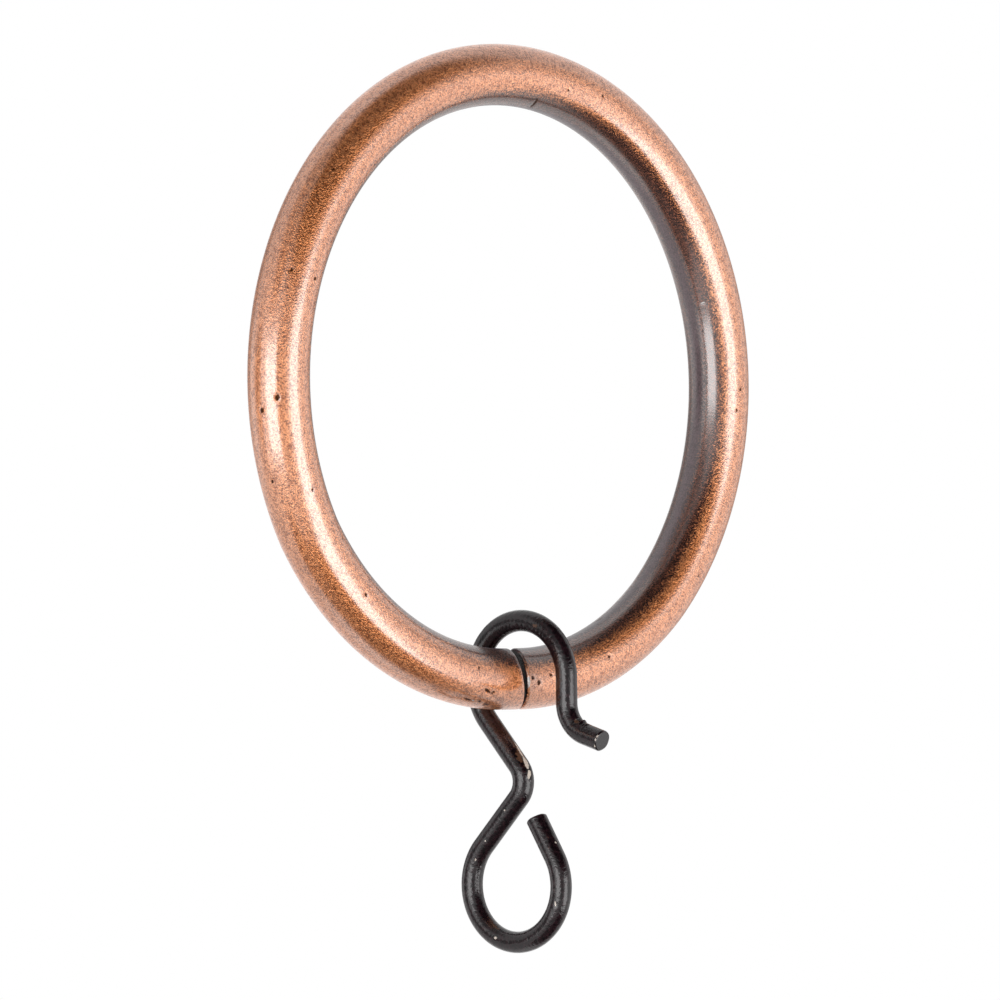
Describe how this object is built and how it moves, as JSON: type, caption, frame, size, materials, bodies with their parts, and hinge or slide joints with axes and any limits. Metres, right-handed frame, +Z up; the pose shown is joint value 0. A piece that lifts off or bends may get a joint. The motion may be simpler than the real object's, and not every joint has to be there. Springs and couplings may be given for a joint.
{
  "type": "curtain ring",
  "caption": "Round copper-finished metal curtain ring with a butt joint, and a bent black wire hook that clips over the rod and ends in an eye for the curtain.",
  "frame": {"origin": "middle of the ring, on the line that the pole's middle would take if it filled the ring", "axes": "+Y along the pole, from the front of the ring to its back; +Z up, with the hook hanging towards -Z; +X along the rod at the joint"},
  "size_m": [0.044, 0.0117, 0.0591],
  "materials": {
    "antique_copper": "satin",
    "black_wire": "satin"
  },
  "bodies": {
    "ring": {"ring": "antique_copper"},
    "hook": {"wire_hook": "black_wire"}
  },
  "joints": [
    {"name": "hook_swing", "type": "hinge", "parent": "ring", "child": "hook", "pos_m": [0.0007, -0.00073, -0.01922], "axis": [0.9925, 0.1219, 0], "continuous": true}
  ]
}
